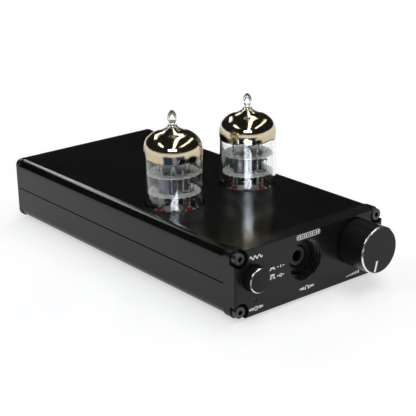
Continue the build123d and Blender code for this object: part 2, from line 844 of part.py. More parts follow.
def make_contacts(x):
    """Seven socket contacts: a sleeve for the pin, and a tail through the board."""
    sleeve_top = valve_seat_height - assembly_gap
    sleeve_floor = board_top + contact_foot
    with BuildPart() as contacts:
        with BuildSketch(level(board_top, x, valve_depth)):
            with Locations(*valve_pin_points()):
                Circle(contact_radius)
        extrude(amount=sleeve_top - board_top)
        with BuildSketch(level(sleeve_floor, x, valve_depth)):
            with Locations(*valve_pin_points()):
                Circle(pin_radius + slide_gap)
        extrude(amount=sleeve_top - sleeve_floor, mode=Mode.SUBTRACT)
        with BuildSketch(level(board_top, x, valve_depth)):
            with Locations(*valve_pin_points()):
                Circle(lead_radius)
        extrude(amount=-board_thickness - lead_tail)
    return contacts.part


valve_makers = {
    "valve_bulb": make_bulb,
    "valve_getter": make_getter,
    "valve_micas": make_micas,
    "valve_anode": make_anode,
    "valve_electrodes": make_electrodes,
    "valve_seals": make_seals,
    "valve_pins": make_pins,
    "valve_socket": make_socket,
    "valve_contacts": make_contacts,
}
for side, valve_x in valve_places.items():
    for piece_name, maker in valve_makers.items():
        piece = maker(valve_x)
        piece.label = f"{piece_name}_{side}"
        export_step(piece, f"parts/{piece_name}_{side}.step")

# --------------------------------------------------------------------------------------- phono sockets
phono_end = case_length + phono_reach
phono_seat = rear_panel_depth - phono_seat_length
insulator_radius = phono_shell_radius - phono_shell_wall
insulator_end = phono_end - phono_insulator_setback
bore_floor = insulator_end - phono_bore_length
phono_contact_outer = phono_bore_radius + phono_contact_wall

for side, phono_x in phono_places.items():
    phono_axis = (phono_x, phono_height)
    with BuildPart() as phono_shell:
        with BuildSketch(upright(phono_end, *phono_axis)):
            Circle(phono_shell_radius)
        extrude(amount=phono_reach - phono_root_reach)
        chamfer(phono_shell.edges().sort_by(Axis.Y)[-1], length=phono_shell_chamfer)
        with BuildSketch(upright(case_length + phono_root_reach, *phono_axis)):
            Circle(phono_root_radius)
        extrude(amount=case_length + phono_root_reach - phono_seat)
        with BuildSketch(upright(phono_end, *phono_axis)):
            Circle(insulator_radius)
        extrude(amount=phono_end - phono_seat, mode=Mode.SUBTRACT)
    phono_shell.part.label = f"phono_shell_{side}"
    export_step(phono_shell.part, f"parts/phono_shell_{side}.step")

    with BuildPart() as phono_insulator:
        with BuildSketch(upright(insulator_end, *phono_axis)):
            Circle(insulator_radius)
        extrude(amount=insulator_end - phono_seat)
        with BuildSketch(upright(insulator_end, *phono_axis)):
            Circle(phono_bore_radius)
        extrude(amount=phono_bore_length, mode=Mode.SUBTRACT)
        with BuildSketch(upright(bore_floor, *phono_axis)):
            Circle(phono_contact_outer)
        extrude(amount=bore_floor - phono_seat, mode=Mode.SUBTRACT)
    phono_insulator.part.label = f"phono_insulator_{side}"
    export_step(phono_insulator.part, f"parts/phono_insulator_{side}.step")

    with BuildPart() as phono_contact:
        with BuildSketch(upright(bore_floor, *phono_axis)):
            Circle(phono_contact_outer)
            Circle(phono_bore_radius, mode=Mode.SUBTRACT)
        extrude(amount=bore_floor - phono_seat)
    phono_contact.part.label = f"phono_contact_{side}"
    export_step(phono_contact.part, f"parts/phono_contact_{side}.step")

with BuildPart() as phono_block:
    with BuildSketch(upright(rear_panel_depth, phono_middle_x)):
        with Locations((0, (board_top + phono_block_top_height) / 2)):
            Rectangle(phono_spacing + 2 * phono_block_side, phono_block_top_height - board_top)
    extrude(amount=phono_block_length)
    with BuildSketch(upright(rear_panel_depth)):
        with Locations(*[(x, phono_height) for x in phono_places.values()]):
            Circle(phono_root_radius)
    extrude(amount=phono_seat_length, mode=Mode.SUBTRACT)
phono_block.part.label = "phono_block"
export_step(phono_block.part, "parts/phono_block.step")

# ----------------------------------------------------------------------------------------- power inlet
inlet_axis = (inlet_x, inlet_height)
inlet_bore_floor = case_length - inlet_bore_depth
with BuildPart() as inlet_body:
    with BuildSketch(upright(rear_panel_depth, inlet_x)):
        with Locations((0, (board_top + inlet_top_height) / 2)):
            Rectangle(inlet_width, inlet_top_height - board_top)
    extrude(amount=inlet_length)
    with BuildSketch(upright(rear_panel_depth, *inlet_axis)):
        Circle(inlet_nose_radius)
    extrude(amount=-rear_panel_thickness)
    with BuildSketch(upright(case_length, *inlet_axis)):
        Circle(inlet_bore_radius)
    extrude(amount=inlet_bore_depth, mode=Mode.SUBTRACT)
    with BuildSketch(upright(inlet_bore_floor, *inlet_axis)):
        Circle(inlet_pin_root_radius)
    extrude(amount=inlet_pin_root_length, mode=Mode.SUBTRACT)
inlet_body.part.label = "inlet_body"
export_step(inlet_body.part, "parts/inlet_body.step")

with BuildPart() as inlet_pin:
    with BuildSketch(upright(case_length - inlet_pin_setback, *inlet_axis)):
        Circle(inlet_pin_radius)
    extrude(amount=inlet_bore_depth - inlet_pin_setback)
    chamfer(inlet_pin.edges().sort_by(Axis.Y)[-1], length=inlet_pin_chamfer)
    with BuildSketch(upright(inlet_bore_floor, *inlet_axis)):
        Circle(inlet_pin_root_radius)
    extrude(amount=inlet_pin_root_length)
inlet_pin.part.label = "inlet_pin"
export_step(inlet_pin.part, "parts/inlet_pin.step")

# ---------------------------------------------------------------------------------- parts on the board
with BuildPart() as electrolytic_capacitors:
    with BuildSketch(level(board_top)):
        with Locations(*electrolytic_places):
            Circle(electrolytic_radius)
    extrude(amount=electrolytic_height)
    chamfer(electrolytic_capacitors.edges().group_by(Axis.Z)[-1], length=electrolytic_chamfer)
electrolytic_capacitors.part.label = "electrolytic_capacitors"
export_step(electrolytic_capacitors.part, "parts/electrolytic_capacitors.step")

with BuildPart() as film_capacitors:
    with BuildSketch(level(board_top)):
        with Locations(*film_places):
            Rectangle(film_size[0], film_size[1])
    extrude(amount=film_size[2])
film_capacitors.part.label = "film_capacitors"
export_step(film_capacitors.part, "parts/film_capacitors.step")

with BuildPart() as audio_chips:
    with BuildSketch(level(board_top)):
        with Locations(*chip_places):
            Rectangle(chip_size[0], chip_size[1])
    extrude(amount=chip_size[2])
audio_chips.part.label = "audio_chips"
export_step(audio_chips.part, "parts/audio_chips.step")

with BuildPart() as resistors:
    with Locations(*[at(x, depth, board_top + resistor_radius) for x, depth in resistor_places]):
        Cylinder(resistor_radius, resistor_length, rotation=(0, 90, 0))
resistors.part.label = "resistors"
export_step(resistors.part, "parts/resistors.step")

regulator_x, regulator_depth = regulator_place
with BuildPart() as regulator:
    with BuildSketch(level(board_top, regulator_x, regulator_depth)):
        Rectangle(regulator_size[0], regulator_size[1])
    extrude(amount=regulator_size[2])
regulator.part.label = "regulator"
export_step(regulator.part, "parts/regulator.step")

sink_depth = regulator_depth + (regulator_size[1] + sink_size[1]) / 2
fin_pitch = sink_size[0] / sink_fin_count
with BuildPart() as heat_sink:
    with BuildSketch(level(board_top, regulator_x, sink_depth)):
        Rectangle(sink_size[0], sink_size[1])
        with GridLocations(fin_pitch, 1, sink_fin_count - 1, 1):
            with Locations((0, sink_fin_gap)):
                Rectangle(sink_fin_gap, sink_size[1], mode=Mode.SUBTRACT)
    extrude(amount=sink_size[2])
heat_sink.part.label = "heat_sink"
export_step(heat_sink.part, "parts/heat_sink.step")

with BuildPart() as inductor:
    with BuildSketch(level(board_top, *inductor_place)):
        Circle(inductor_radius)
    extrude(amount=inductor_height)
    fillet(inductor.edges().group_by(Axis.Z)[-1], radius=inductor_fillet)
inductor.part.label = "inductor"
export_step(inductor.part, "parts/inductor.step")

# --------------------------------------------------------------------------------------- circuit board
two_lead_parts = electrolytic_places + film_places + [regulator_place, inductor_place]
lead_places = [(x + side * lead_pitch / 2, depth) for x, depth in two_lead_parts for side in (-1, 1)]
lead_places += [(x + step * lead_pitch, depth) for x, depth in chip_places for step in (-1, 0, 1)]
pot_lead_depth = front_panel_thickness + pot_length - pot_lead_inset
lead_places += [(knob_x + step * lead_pitch, pot_lead_depth) for step in (-1, 0, 1)]
lead_places += [(button_x + step * lead_pitch, switch_front + switch_length / 2) for step in (-1, 0, 1)]
lead_places += [(jack_x + step * lead_pitch, jack_body_front + jack_body_length / 2) for step in (-1, 0, 1)]
lead_places += [(x, rear_panel_depth - phono_block_length / 2) for x in phono_places.values()]
lead_places += [(inlet_x, rear_panel_depth - depth) for depth in inlet_lead_depths]
lead_places += [(x + side * resistor_length / 3, depth) for x, depth in resistor_places for side in (-1, 1)]

with BuildPart() as solder_leads:
    with BuildSketch(level(board_top)):
        with Locations(*lead_places):
            Circle(lead_radius)
    extrude(amount=-board_thickness - lead_tail)
solder_leads.part.label = "solder_leads"
export_step(solder_leads.part, "parts/solder_leads.step")

with BuildPart() as circuit_board:
    with BuildSketch(level(board_underside, 0, (board_front + board_back) / 2)):
        Rectangle(2 * (inner_half_width - board_side_gap), board_back - board_front)
    extrude(amount=board_thickness)
    with BuildSketch(level(board_underside)):
        with Locations(*lead_places):
            Circle(lead_radius)
        for valve_x in valve_places.values():
            with Locations(*[(valve_x + x, valve_depth + y) for x, y in valve_pin_points()]):
                Circle(lead_radius)
    extrude(amount=board_thickness, mode=Mode.SUBTRACT)
circuit_board.part.label = "circuit_board"
export_step(circuit_board.part, "parts/circuit_board.step")
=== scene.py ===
import math

import bmesh
import bpy
from mathutils import Matrix, Vector


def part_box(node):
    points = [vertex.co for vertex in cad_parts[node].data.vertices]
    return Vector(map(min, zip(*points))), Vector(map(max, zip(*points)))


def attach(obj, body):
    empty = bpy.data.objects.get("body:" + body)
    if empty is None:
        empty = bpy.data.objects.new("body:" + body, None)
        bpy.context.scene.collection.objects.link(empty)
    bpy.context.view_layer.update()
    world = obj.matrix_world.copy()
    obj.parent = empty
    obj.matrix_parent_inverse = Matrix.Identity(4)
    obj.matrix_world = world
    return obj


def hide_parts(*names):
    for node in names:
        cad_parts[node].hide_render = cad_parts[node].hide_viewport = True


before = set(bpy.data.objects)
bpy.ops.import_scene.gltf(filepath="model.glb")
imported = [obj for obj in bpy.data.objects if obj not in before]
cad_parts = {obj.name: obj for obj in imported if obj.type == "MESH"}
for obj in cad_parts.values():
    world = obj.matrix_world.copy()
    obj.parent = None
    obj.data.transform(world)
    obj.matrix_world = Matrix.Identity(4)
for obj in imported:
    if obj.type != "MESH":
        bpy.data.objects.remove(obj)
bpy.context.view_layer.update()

MM = 0.001
PANEL_LOW, PANEL_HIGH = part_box("front_panel")
FACE_Y = PANEL_LOW.y
CASE_LOW = PANEL_LOW.z
CASE_TOP = PANEL_HIGH.z
SIDES = ("left", "right")


# ------------------------------------------------------------------------------------------ node trees
class Material:
    """A material's node tree. Values that are sockets are linked, and others are set on the input."""

    def __init__(self, name):
        self.data = bpy.data.materials.new(name)
        self.data.use_nodes = True
        self.tree = self.data.node_tree
        self.tree.nodes.clear()
        self.output = self.tree.nodes.new("ShaderNodeOutputMaterial")
        self.coordinates = self.tree.nodes.new("ShaderNodeTexCoord")

    def node(self, kind, inputs, **settings):
        made = self.tree.nodes.new("ShaderNode" + kind)
        for name, value in settings.items():
            setattr(made, name, value)
        for name, value in inputs.items():
            if isinstance(value, bpy.types.NodeSocket):
                self.tree.links.new(value, made.inputs[name])
            else:
                made.inputs[name].default_value = value
        return made

    def place(self, stretch=(1, 1, 1)):
        """Object coordinates, stretched along the axes."""
        inputs = {"Vector": self.coordinates.outputs["Object"], "Scale": stretch}
        return self.node("Mapping", inputs).outputs[0]

    def noise(self, size, detail=3.0, roughness=0.55, stretch=(1, 1, 1)):
        """Noise with blotches of about `size` metres."""
        inputs = {
            "Vector": self.place(stretch),
            "Scale": 1 / size,
            "Detail": detail,
            "Roughness": roughness,
        }
        return self.node("TexNoise", inputs).outputs["Fac"]

    def spread(self, value, low, high, start=0.3, end=0.7):
        """Takes value from start..end to low..high."""
        inputs = {"Value": value, "From Min": start, "From Max": end, "To Min": low, "To Max": high}
        return self.node("MapRange", inputs).outputs[0]

    def blend(self, share, first, second):
        """Mix of two colours."""
        first_colour, second_colour, mixed_colour = 6, 7, 2
        inputs = {"Factor": share, first_colour: first, second_colour: second}
        return self.node("Mix", inputs, data_type="RGBA").outputs[mixed_colour]

    def math(self, operation, first, second=0.0):
        return self.node("Math", {0: first, 1: second}, operation=operation).outputs[0]

    def bump(self, height, depth, strength=1.0):
        """Surface normal of a height from 0 to 1, over a depth in metres."""
        inputs = {"Height": height, "Distance": depth, "Strength": strength}
        return self.node("Bump", inputs).outputs[0]

    def surface(self, **inputs):
        """A Principled shader on the output, with inputs named as its sockets."""
        names = {key.replace("_", " "): value for key, value in inputs.items()}
        shader = self.node("BsdfPrincipled", names)
        self.tree.links.new(shader.outputs[0], self.output.inputs["Surface"])
        return shader


def colour(red, green, blue):
    return (red, green, blue, 1.0)


def coated_metal(name, base, gloss, grain_size, grain_depth, worn, specular=0.5):
    """Black finish on aluminium: fine grain, patches of a little more or less gloss, and faint hairlines."""
    m = Material(name)
    patches = m.noise(14 * MM, 4.0)
    hairlines = m.noise(0.5 * MM, 2.0, 0.6, (1.0, 0.03, 1.0))
    grain = m.noise(grain_size, 3.0, 0.6)
    shade = m.blend(m.spread(patches, 0.0, 1.0), base, worn)
    rough = m.math(
        "ADD",
        m.spread(patches, gloss * 0.85, gloss * 1.15),
        m.spread(hairlines, -0.03 * gloss, 0.03 * gloss),
    )
    m.surface(
        Base_Color=shade,
        Roughness=rough,
        Specular_IOR_Level=specular,
        Normal=m.bump(grain, grain_depth),
    )
    return m.data


def turned_metal(name, base, roughness, groove=0.12 * MM):
    """Bare metal with fine machining lines and slight stains."""
    m = Material(name)
    stains = m.noise(1.5 * MM, 4.0)
    lines = m.noise(groove, 2.0, 0.7, (1.0, 4.0, 1.0))
    tone = m.blend(m.spread(stains, 0.0, 1.0), base, colour(*[0.8 * c for c in base[:3]]))
    m.surface(
        Base_Color=tone,
        Metallic=1.0,
        Roughness=m.spread(stains, roughness * 0.8, roughness * 1.3),
        Normal=m.bump(lines, 0.004 * MM),
    )
    return m.data


def moulded(name, base, roughness, speck=0.35 * MM, **more):
    """Moulded plastic, rubber, ceramic or paint with a fine surface texture and uneven gloss."""
    m = Material(name)
    patches = m.noise(4 * MM, 4.0)
    specks = m.noise(speck, 3.0)
    tone = m.blend(m.spread(patches, 0.0, 1.0), base, colour(*[0.86 * c for c in base[:3]]))
    m.surface(
        Base_Color=tone,
        Roughness=m.spread(patches, roughness * 0.85, min(1.0, roughness * 1.2)),
        Normal=m.bump(specks, 0.006 * MM),
        **more,
    )
    return m.data


def lets_light_through(m, shader, tint):
    """Glass that lamps shine through, so that what is inside is lit."""
    path = m.node("LightPath", {})
    clear = m.node("BsdfTransparent", {"Color": tint})
    share = m.math("MAXIMUM", path.outputs["Is Shadow Ray"], path.outputs["Is Diffuse Ray"])
    both = m.node("MixShader", {0: share, 1: shader.outputs[0], 2: clear.outputs[0]})
    m.tree.links.new(both.outputs[0], m.output.inputs["Surface"])


def clear_glass(name):
    """Drawn bulb glass: colourless, with faint waves from the flame."""
    m = Material(name)
    waves = m.noise(3.5 * MM, 2.0, 0.5, (1.0, 1.0, 0.35))
    dust = m.noise(0.9 * MM, 4.0)
    shader = m.surface(
        Base_Color=colour(0.97, 0.985, 0.98),
        Transmission_Weight=1.0,
        IOR=1.5,
        Roughness=m.spread(dust, 0.0, 0.03, 0.5, 0.8),
        Normal=m.bump(waves, 0.03 * MM, 0.5),
    )
    lets_light_through(m, shader, colour(0.95, 0.97, 0.96))
    return m.data


def getter_mirror(name, low_z):
    """Evaporated metal inside the dome: a warm mirror that ends in a thin brown line at an uneven height."""
    m = Material(name)
    height = m.node("SeparateXYZ", {0: m.coordinates.outputs["Object"]}).outputs["Z"]
    ragged = m.noise(6 * MM, 2.0, 0.4, (1.0, 1.0, 0.3))
    level = m.math("ADD", height, m.spread(ragged, -0.8 * MM, 0.8 * MM, 0.25, 0.75))
    cover = m.spread(level, 0.0, 1.0, low_z, low_z + 0.25 * MM)
    warmth = m.spread(level, 0.0, 1.0, low_z + 0.25 * MM, low_z + 0.8 * MM)
    crazing = m.noise(0.45 * MM, 4.0, 0.6)
    m.surface(
        Base_Color=m.blend(warmth, colour(0.03, 0.02, 0.012), colour(0.56, 0.47, 0.31)),
        Metallic=1.0,
        Roughness=m.spread(crazing, 0.015, 0.06),
        Alpha=cover,
        Normal=m.bump(crazing, 0.012 * MM),
    )
    return m.data


def mica_sheet(name):
    """Split mica: milky, half clear, with flakes."""
    m = Material(name)
    flakes = m.noise(1.2 * MM, 4.0, 0.6, (1.0, 1.0, 0.2))
    m.surface(
        Base_Color=m.blend(m.spread(flakes, 0.0, 1.0), colour(0.86, 0.83, 0.81), colour(0.96, 0.95, 0.94)),
        Roughness=m.spread(flakes, 0.18, 0.4),
        Alpha=m.spread(flakes, 0.5, 0.85),
        Normal=m.bump(flakes, 0.02 * MM),
    )
    return m.data


MATERIALS = {
    "case": coated_metal("case_black", colour(0.0042, 0.0042, 0.0034), 0.15, 0.25 * MM, 0.004 * MM,
                         colour(0.006, 0.006, 0.005), 0.27),
    "panel": coated_metal("panel_black", colour(0.0095, 0.0098, 0.0098), 0.24, 0.12 * MM, 0.004 * MM,
                          colour(0.012, 0.0124, 0.0124), 0.24),
    "knob": coated_metal("knob_black", colour(0.0095, 0.0097, 0.01), 0.24, 0.15 * MM, 0.003 * MM,
                         colour(0.0115, 0.0117, 0.012), 0.2),
    "turned": coated_metal("panel_turned", colour(0.012, 0.0124, 0.0124), 0.2, 0.12 * MM, 0.003 * MM,
                           colour(0.016, 0.0165, 0.0165), 0.8),
    "bright": turned_metal("bright_edge", colour(0.93, 0.93, 0.93), 0.22),
    "steel": turned_metal("screw_steel", colour(0.10, 0.097, 0.097), 0.38),
    "nickel": turned_metal("nickel", colour(0.72, 0.70, 0.67), 0.18),
    "brass": turned_metal("brass", colour(0.78, 0.6, 0.3), 0.25),
    "gold": turned_metal("contact_gold", colour(0.9, 0.68, 0.3), 0.2),
    "electrode": turned_metal("electrode_metal", colour(0.085, 0.085, 0.09), 0.4, 0.3 * MM),
    "strap": turned_metal("strap_metal", colour(0.05, 0.045, 0.04), 0.3),
    "wire": turned_metal("lead_wire", colour(0.3, 0.3, 0.3), 0.3),
    # White paint with a faint painted glow: its emission brightens the panel marks and the knob's pointer,
    # though they are no lamp.
    "mark": moulded("white_mark", colour(0.92, 0.92, 0.92), 0.4, 0.1 * MM,
                    Emission_Color=colour(1.0, 1.0, 1.0), Emission_Strength=0.14),
    "rubber": moulded("foot_rubber", colour(0.018, 0.018, 0.018), 0.75),
    "black_plastic": moulded("black_plastic", colour(0.014, 0.014, 0.015), 0.42),
    "insert_white": moulded("insert_white", colour(0.78, 0.77, 0.74), 0.3),
    "insert_red": moulded("insert_red", colour(0.5, 0.014, 0.012), 0.3),
    "ceramic": moulded("socket_ceramic", colour(0.74, 0.73, 0.69), 0.25),
    "board": moulded("board_green", colour(0.012, 0.09, 0.035), 0.3, 0.6 * MM),
    "sleeve": moulded("capacitor_sleeve", colour(0.02, 0.02, 0.06), 0.3),
    "film": moulded("film_red", colour(0.36, 0.035, 0.02), 0.32),
    "lens": moulded("light_lens", colour(0.012, 0.012, 0.014), 0.12),
    "seal": moulded("seal_glass", colour(0.72, 0.05, 0.04), 0.12, Coat_Weight=1.0, Coat_Roughness=0.03),
    "glass": clear_glass("bulb_glass"),
    "mica": mica_sheet("mica"),
}

NODE_MATERIALS = {
    "top_shell": "case",
    "bottom_shell": "case",
    "front_panel": "panel",
    "rear_panel": "panel",
    "front_panel_screws": "steel",
    "rear_panel_screws": "steel",
    "rubber_feet": "rubber",
    "volume_knob": "knob",
    "power_button": "knob",
    "knob_pointer": "mark",
    "knob_grub_screw": "steel",
    "potentiometer_shaft": "brass",
    "potentiometer_bushing": "brass",
    "potentiometer_washer": "nickel",
    "potentiometer_nut": "nickel",
    "potentiometer_body": "black_plastic",
    "switch_plunger": "black_plastic",
    "switch_body": "black_plastic",
    "jack_nose": "black_plastic",
    "jack_body": "black_plastic",
    "light_pipe": "lens",
    "indicator_led": "lens",
    "phono_block": "black_plastic",
    "inlet_body": "black_plastic",
    "inlet_pin": "nickel",
    "electrolytic_capacitors": "sleeve",
    "film_capacitors": "film",
    "audio_chips": "black_plastic",
    "resistors": "film",
    "regulator": "black_plastic",
    "heat_sink": "steel",
    "inductor": "black_plastic",
    "solder_leads": "nickel",
    "circuit_board": "board",
}
for side in SIDES:
    NODE_MATERIALS[f"valve_anode_{side}"] = "electrode"
    NODE_MATERIALS[f"valve_electrodes_{side}"] = "wire"
    NODE_MATERIALS[f"valve_seals_{side}"] = "seal"
    NODE_MATERIALS[f"valve_pins_{side}"] = "nickel"
    NODE_MATERIALS[f"valve_socket_{side}"] = "ceramic"
    NODE_MATERIALS[f"valve_contacts_{side}"] = "gold"
    NODE_MATERIALS[f"phono_shell_{side}"] = "nickel"
    NODE_MATERIALS[f"phono_contact_{side}"] = "gold"
NODE_MATERIALS["phono_insulator_left"] = "insert_white"
NODE_MATERIALS["phono_insulator_right"] = "insert_red"

for node_name, material_name in NODE_MATERIALS.items():
    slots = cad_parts[node_name].data.materials
    slots.clear()
    slots.append(MATERIALS[material_name])


# ------------------------------------------------------------------------------------------ meshes
def add_piece(name, mesh, material, body, replaced=()):
    """Links a finished mesh as a piece that rides on a body."""
    piece = bpy.data.objects.new(name, mesh)
    bpy.context.scene.collection.objects.link(piece)
    mesh.materials.append(material)
    for face in mesh.polygons:
        face.use_smooth = True
    mesh.set_sharp_from_angle(angle=math.radians(35))
    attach(piece, body)
    if replaced:
        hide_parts(*replaced)
    return piece


def add_lathe(points, made, centre, axis, turns=96):
    """Adds a surface of revolution to a bmesh. points are (radius, distance along axis)."""
    side = axis.orthogonal().normalized()
    other = axis.cross(side)
    on_axis = 1e-7
    rings = []
    for radius, along in points:
        middle = centre + axis * along
        if radius < on_axis:
            rings.append([made.verts.new(middle)])
            continue
        ring = []
        for step in range(turns):
            angle = 2 * math.pi * step / turns
            outward = math.cos(angle) * side + math.sin(angle) * other
            ring.append(made.verts.new(middle + radius * outward))
        rings.append(ring)
    for low, high in zip(rings, rings[1:]):
        for step in range(turns):
            after = (step + 1) % turns
            if len(low) == 1 and len(high) == 1:
                continue
            if len(low) == 1:
                made.faces.new((low[0], high[after], high[step]))
            elif len(high) == 1:
                made.faces.new((low[step], low[after], high[0]))
            else:
                made.faces.new((low[step], low[after], high[after], high[step]))


def finish_mesh(made, name, outward=True):
    """Turns a bmesh into a mesh, with its normals outward if asked."""
    if outward:
        bmesh.ops.recalc_face_normals(made, faces=made.faces)
    mesh = bpy.data.meshes.new(name)
    made.to_mesh(mesh)
    made.free()
    return mesh


def curve_through(points, start=None, end=None, steps=10):
    """Points on a smooth curve through the given ones, with optional end directions."""
    spots = [Vector(point) for point in points]
    tangents = []
    for index, spot in enumerate(spots):
        before = spots[max(index - 1, 0)]
        after = spots[min(index + 1, len(spots) - 1)]
        tangents.append((after - before) / 2)
    if start is not None:
        tangents[0] = Vector(start).normalized() * (spots[1] - spots[0]).length
    if end is not None:
        tangents[-1] = Vector(end).normalized() * (spots[-1] - spots[-2]).length
    made = []
    for index in range(len(spots) - 1):
        for step in range(steps):
            t = step / steps
            made.append(
                (2 * t**3 - 3 * t**2 + 1) * spots[index]
                + (t**3 - 2 * t**2 + t) * tangents[index]
                + (3 * t**2 - 2 * t**3) * spots[index + 1]
                + (t**3 - t**2) * tangents[index + 1]
            )
    made.append(spots[-1])
    return [tuple(spot) for spot in made]


def add_bar(made, path, half_width, half_height, sides=10):
    """Adds a bent wire or strap with closed ends along a path. Its width is level, across the path."""
    upright = 1e-3
    spots = [Vector(point) for point in path]
    rings = []
    for index, spot in enumerate(spots):
        along = (spots[min(index + 1, len(spots) - 1)] - spots[max(index - 1, 0)]).normalized()
        across = along.cross(UP)
        across = across.normalized() if across.length > upright else Vector((1, 0, 0))
        rise = across.cross(along)
        rings.append([
            made.verts.new(
                spot
                + across * (half_width * math.cos(2 * math.pi * step / sides))
                + rise * (half_height * math.sin(2 * math.pi * step / sides))
            )
            for step in range(sides)
        ])
    for low, high in zip(rings, rings[1:]):
        for step in range(sides):
            after = (step + 1) % sides
            made.faces.new((low[step], low[after], high[after], high[step]))
    made.faces.new(list(reversed(rings[0])))
    made.faces.new(rings[-1])


UP = Vector((0, 0, 1))
FRONT = Vector((0, -1, 0))
VIEW_TURN = math.radians(38.6)  # the camera looks this far to the right of straight back


def middle_of(node):
    low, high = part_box(node)
    return (low + high) / 2


# ------------------------------------------------------------------------------------------ valves
# Heights here are above the case's underside.
BULB_RADIUS = 9.25 * MM
BULB_WALL = 0.6 * MM
BULB_BASE_THICKNESS = 2.3 * MM
BULB_BASE_ROUNDING = 2.4 * MM
CAVITY_ROUNDING = 1.2 * MM
DOME = [  # radius, height, and the lean of the glass in degrees
    (9.25, 36.0, 0),
    (9.35, 38.7, 0),
    (8.55, 41.65, 40),
    (6.42, 43.65, 55),
    (3.52, 44.75, 65),
]
NECK_RADIUS = 1.5 * MM
NECK_BORE = 0.7 * MM
NECK_HEIGHT = 46.5 * MM
NECK_LEAN = (-0.2, 1)
TIP = [(1.62 * MM, 48.3 * MM), (1.15 * MM, 50.2 * MM)]
TIP_BORE = [(0.95 * MM, 48.2 * MM), (0.5 * MM, 49.6 * MM), (0, 49.9 * MM)]
FILM_INSIDE_GLASS = 0.05 * MM
FILM_EDGE_DROP = 0.4 * MM
BULB_TURNS = 128

MICA_TEETH = 26
MICA_TOOTH_RADIUS = 8.5 * MM
MICA_GAP_RADIUS = 8.0 * MM
MICA_THICKNESS = 0.25 * MM
PLAIN_MICA_THICKNESS = 0.3 * MM

PIN_CIRCLE = 4.765 * MM
PIN_ANGLES = [135 + 45 * number for number in range(7)]
GRID_RODS = [  # to the right and towards the camera, in mm
    (0.9, 3.6),
    (2.0, 3.9),
    (3.1, 3.7),
    (4.2, 3.2),
    (5.2, 2.3),
    (6.0, 1.2),
    (-2.2, 3.9),
]
GRID_ROD_RADIUS = 0.11 * MM
GRID_WIRE_RADIUS = 0.06 * MM
GRID_TURNS = 9
STRAP_HALF_THICKNESS = 0.12 * MM
STRAPS = [  # half of the height in mm, then points to the right, towards the camera and up, in mm
    (0.75, [(-6.0, 1.6, 28.2), (-4.9, 2.6, 28.3), (-3.6, 3.3, 28.0), (-2.4, 3.9, 26.6)]),
    (0.32, [(3.1, 3.9, 30.6), (4.4, 3.4, 30.2), (5.6, 2.4, 30.5), (6.4, 1.2, 29.8)]),
    (0.3, [(1.2, 3.9, 26.2), (2.6, 4.2, 26.6), (4.4, 3.5, 26.1), (5.9, 1.9, 26.5)]),
]
COLLAR_BORE = 0.33 * MM


def bulb_outline(inset, neck):
    """Bulb's profile from the shoulder up to the neck, as (radius, height), `inset` inside the glass."""
    rings = [
        (
            radius * MM - inset * math.cos(math.radians(lean)),
            height * MM - inset * math.sin(math.radians(lean)),
        )
        for radius, height, lean in DOME
    ]
    return rings + [(neck, NECK_HEIGHT)]


def rounded_corner(radius, floor, rounding, steps=8):
    """Quarter circle between a floor and a straight wall, as (radius, height) points."""
    return [
        (
            radius - rounding * (1 - math.sin(math.pi / 2 * step / steps)),
            floor + rounding * (1 - math.cos(math.pi / 2 * step / steps)),
        )
        for step in range(steps + 1)
    ]


def make_bulb(side):
    """Glass bulb: outer and inner walls, pressed base and sealed tip."""
    low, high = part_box(f"valve_bulb_{side}")
    centre = Vector(((low.x + high.x) / 2, (low.y + high.y) / 2, CASE_LOW))
    foot = low.z - CASE_LOW
    tip_top = high.z - CASE_LOW
    outside = [(0, foot)] + rounded_corner(BULB_RADIUS, foot, BULB_BASE_ROUNDING)
    outside += curve_through(bulb_outline(0, NECK_RADIUS), start=(0, 1), end=NECK_LEAN)
    tip = [(NECK_RADIUS, NECK_HEIGHT)] + TIP + [(0, tip_top)]
    outside += curve_through(tip, start=NECK_LEAN, end=(-1, -0.05))[1:]
    inner_floor = foot + BULB_BASE_THICKNESS
    inside = [(0, inner_floor)] + rounded_corner(BULB_RADIUS - BULB_WALL, inner_floor, CAVITY_ROUNDING)
    roof = bulb_outline(BULB_WALL, NECK_BORE) + TIP_BORE
    inside += curve_through(roof, start=(0, 1), end=(-1, 0))
    made = bmesh.new()
    add_lathe(outside, made, centre, UP, BULB_TURNS)
    bmesh.ops.recalc_face_normals(made, faces=made.faces)
    outer_faces = set(made.faces)
    add_lathe(inside, made, centre, UP, BULB_TURNS)
    inner_faces = [face for face in made.faces if face not in outer_faces]
    bmesh.ops.recalc_face_normals(made, faces=inner_faces)
    bmesh.ops.reverse_faces(made, faces=inner_faces)
    mesh = finish_mesh(made, f"glass_{side}", outward=False)
    add_piece(f"glass_{side}", mesh, MATERIALS["glass"], f"valve_{side}", [f"valve_bulb_{side}"])


def make_getter(side):
    """Mirror film, a hair inside the glass so that no air shows between them."""
    low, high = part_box(f"valve_getter_{side}")
    centre = Vector(((low.x + high.x) / 2, (low.y + high.y) / 2, CASE_LOW))
    inset = BULB_WALL - FILM_INSIDE_GLASS
    neck = NECK_BORE + FILM_INSIDE_GLASS
    outline = curve_through(bulb_outline(inset, neck), start=(0, 1), end=(0, 1))
    made = bmesh.new()
    add_lathe(outline, made, centre, UP, BULB_TURNS)
    mesh = finish_mesh(made, f"getter_{side}")
    material = getter_mirror(f"getter_film_{side}", low.z - FILM_EDGE_DROP)
    add_piece(f"getter_{side}", mesh, material, f"valve_{side}", [f"valve_getter_{side}"])


